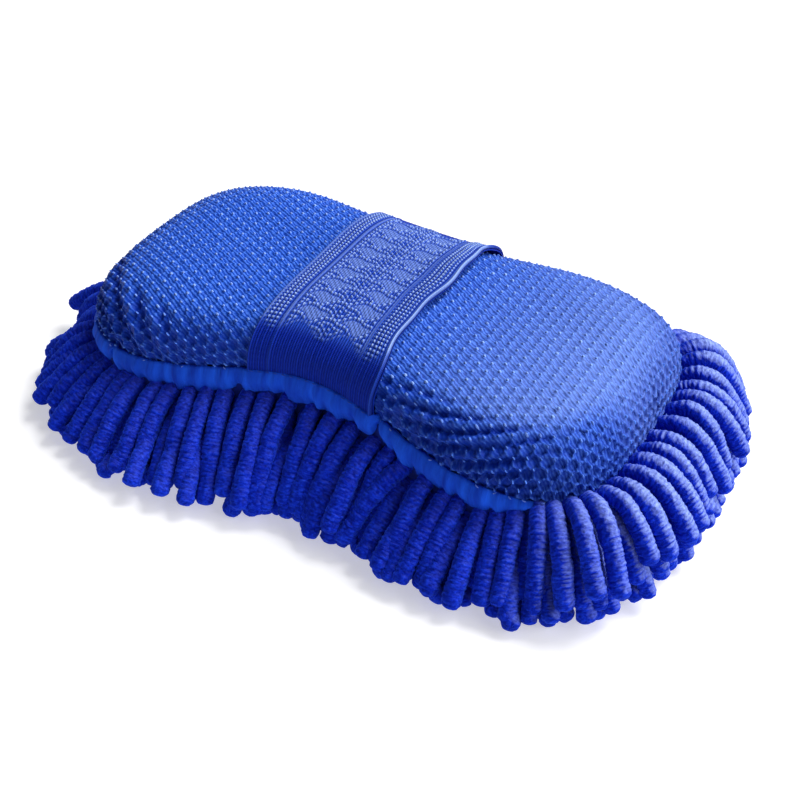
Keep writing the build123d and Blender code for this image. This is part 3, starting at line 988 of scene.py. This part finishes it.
def side_fingers():
    """The fingers round the sides, as one piece for each ring and direction."""
    for ring, rows, around, pitch in (
        ("upper", ((upper_style, UPPER_COUNT, 0.0), (tucked_style, UPPER_COUNT, 0.5)), 28, 0.46),
        ("lower", ((lower_style, LOWER_COUNT, 0.5),), 26, 0.55),
        ("edge", ((floor_style, EDGE_COUNT, 0.25),), 22, 0.65),
    ):
        groups = {"front": [], "back": [], "left": [], "right": []}
        for style, count, shift in rows:
            for away, path in side_ring(count, style, shift):
                groups[sector(away)].append(path)
        for name, paths in groups.items():
            piece = finger_group(f"fingers_{ring}_{name}", paths, FINGER_RADIUS, around, pitch)
            dress(piece, "mitt", [f"{ring}_fingers_{name}"])


def under_fingers():
    """Rows of fingers that lie along the floor under the body; the outermost is only under the lobes."""
    floor_z = FINGER_RADIUS + FLOOR_GAP
    for group, rows in (("inner", ((2.0, 27, 0.0),)), ("outer", ((19.0, 25, 0.0), (34.0, 23, 30.0)))):
        for side, sign in (("back", 1), ("front", -1)):
            paths = []
            for root_y, columns, clear in rows:
                for i in range(columns):
                    x = (i - (columns - 1) / 2) * UNDER_PITCH + RNG.normal(0, 0.5)
                    lean = RNG.normal(0, 2.0)
                    y = root_y + RNG.normal(0, 0.7)
                    if abs(x) < clear:
                        continue
                    paths.append([
                        (x, sign * y, BASE_Z + 1), (x, sign * (y + 1), 6.0),
                        (x + lean * 0.4, sign * (y + 5), floor_z), (x + lean, sign * (y + 21), floor_z)])
            piece = finger_group(f"fingers_under_{group}_{side}", paths, FINGER_RADIUS, 22, 0.65)
            dress(piece, "mitt", [f"under_fingers_{group}_{side}"])


# -------------------- stitches

def tube(points, radius, around=6):
    """Points of a thin tube along a line, drawn in at both ends, with its rows and its points round."""
    points = np.asarray(points, float)
    tangent = np.gradient(points, axis=0)
    tangent /= np.linalg.norm(tangent, axis=1, keepdims=True)
    helper = np.array([0.31, 0.17, 0.93])
    side = np.cross(tangent, helper)
    side /= np.linalg.norm(side, axis=1, keepdims=True)
    up = np.cross(side, tangent)
    angle = math.tau * np.arange(around) / around
    size = np.full(len(points), radius)
    size[[0, -1]] = radius * 0.25
    ring = np.cos(angle)[None, :, None] * side[:, None] + np.sin(angle)[None, :, None] * up[:, None]
    return (points[:, None] + ring * size[:, None, None]).reshape(-1, 3), len(points), around


def thread_piece(name, lines, radius, material):
    """One object of many short stitches, each a tube along its own line."""
    points, faces, start = [], [], 0
    for line in lines:
        ring, rows, around = tube(line, radius)
        points.append(ring)
        faces.append(grid_faces(rows, around, True, start))
        start += len(ring)
    return add_mesh(name, np.concatenate(points), np.concatenate(faces), material)


def seam_stitches():
    """Short stitches that hold the net's lower edge in the band, mostly at the right end."""
    count = 104
    point, out, _ = rim(count)
    seam, _ = heights(point[:, 0])
    lines = []
    for i in range(count):
        if abs(point[i, 0]) < STRAP_HALF + 1 or (point[i, 0] < 62 and i % 3):
            continue
        along = np.array([-out[i, 1], out[i, 0]])
        slant, shift, half = RNG.uniform(-0.6, 0.6), RNG.normal(0, 0.9), RNG.uniform(0.4, 0.8)
        line = []
        for share in (-1, -0.4, 0.4, 1):
            spot = point[i] + out[i] * (0.9 + 0.3 * (1 - share * share)) + along * (shift + half * share)
            line.append((spot[0], spot[1], seam[i] + 1.0 + slant * share))
        lines.append(line)
    return thread_piece("seam_stitches", lines, 0.20, THREAD)


def strap_tacks(sign):
    """Lines of the short stitches that hold one end of the strap in the seam."""
    lines = []
    for x in np.arange(-22.5, 23.0, 3.0):
        y = outline_y(np.array([x]))[0] + 3.0
        seam, _ = heights(np.array([x]))
        lines.append([(x - 0.9, sign * y, seam[0] + 1.9), (x, sign * (y + 0.25), seam[0] + 2.0),
                      (x + 0.9, sign * y, seam[0] + 1.9)])
    return lines


# -------------------- build

net = net_cover()
dress(net, "mitt", ["mesh_cover"])
foam = foam_block()
dress(foam, "mitt", ["foam_core"])
cloth = ground_cloth()
dress(cloth, "mitt", ["base_cloth"])
band = edge_band()
dress(band, "mitt", ["edge_band"])
strap = hand_strap()
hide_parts("hand_strap", "strap_side_front", "strap_side_back")
stitches = seam_stitches()
dress(stitches, "mitt", ["seam_thread"])
for tack_side, tack_sign in (("front", -1), ("back", 1)):
    tack = thread_piece(f"strap_stitches_{tack_side}", strap_tacks(tack_sign), 0.25, TACK_THREAD)
    dress(tack, "mitt", [f"strap_tack_{tack_side}"])
side_fingers()
under_fingers()

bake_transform(strap)


# -------------------- studio

def studio():
    """A pale floor that glows faintly, so that its shadow stays soft, under two soft suns and a grey sky
    that is white at the horizon."""
    scene = bpy.context.scene
    scene.view_settings.view_transform = "Standard"
    world = bpy.data.worlds.new("studio")
    scene.world = world
    world.use_nodes = True
    tree = world.node_tree
    height = add_node(tree, "SeparateXYZ", Vector=coordinates(tree, "Generated")).outputs["Z"]
    sky = ramp(tree, height, (0.03, (1.0, 1.0, 1.0)), (0.12, (0.13, 0.13, 0.13)))
    wire(tree, tree.nodes["Background"], Color=sky)
    floor_material, tree, shader = new_material("studio_floor")
    wire(tree, shader, Base_Color=(0.70, 0.70, 0.70), Roughness=0.9, Emission_Color=(1.0, 1.0, 1.0),
         Emission_Strength=0.48)
    corners = [(x * FLOOR_HALF, y * FLOOR_HALF, -0.05) for x, y in ((-1, -1), (1, -1), (1, 1), (-1, 1))]
    floor = add_mesh("floor", corners, [(0, 1, 2, 3)], floor_material, smooth=False)
    for name, place_m, strength, softness in (
        ("key", (0.45, 0.65, 1.1), 3.0, 30.0), ("side", (0.95, 0.1, 0.6), 1.7, 50.0)):
        light = bpy.data.lights.new(name, "SUN")
        light.energy = strength
        light.angle = math.radians(softness)
        lamp = bpy.data.objects.new(name, light)
        lamp.location = place_m
        lamp.rotation_euler = (-Vector(place_m)).to_track_quat("-Z", "Y").to_euler()
        scene.collection.objects.link(lamp)


def camera():
    """The camera at the photo's angle, aimed a little to the right of and below the mitt's middle."""
    azimuth, elevation = math.radians(30.87), math.radians(35.54)
    distance, focal_mm = 0.525, 65.35
    aim_right, aim_down = 0.0063, 0.0297
    back = Vector((math.sin(azimuth) * math.cos(elevation), -math.cos(azimuth) * math.cos(elevation),
                   math.sin(elevation)))
    right = Vector((math.cos(azimuth), math.sin(azimuth), 0))
    up = back.cross(right)
    place_m = Vector((0, 0, 0.045)) + back * distance
    centre = back * -distance + right * aim_right - up * aim_down
    data = bpy.data.cameras.new("camera")
    data.lens = focal_mm
    data.sensor_width = 36.0
    view = bpy.data.objects.new("camera", data)
    view.location = place_m
    view.rotation_euler = centre.to_track_quat("-Z", "Y").to_euler()
    bpy.context.scene.collection.objects.link(view)
    bpy.context.scene.camera = view


studio()
camera()
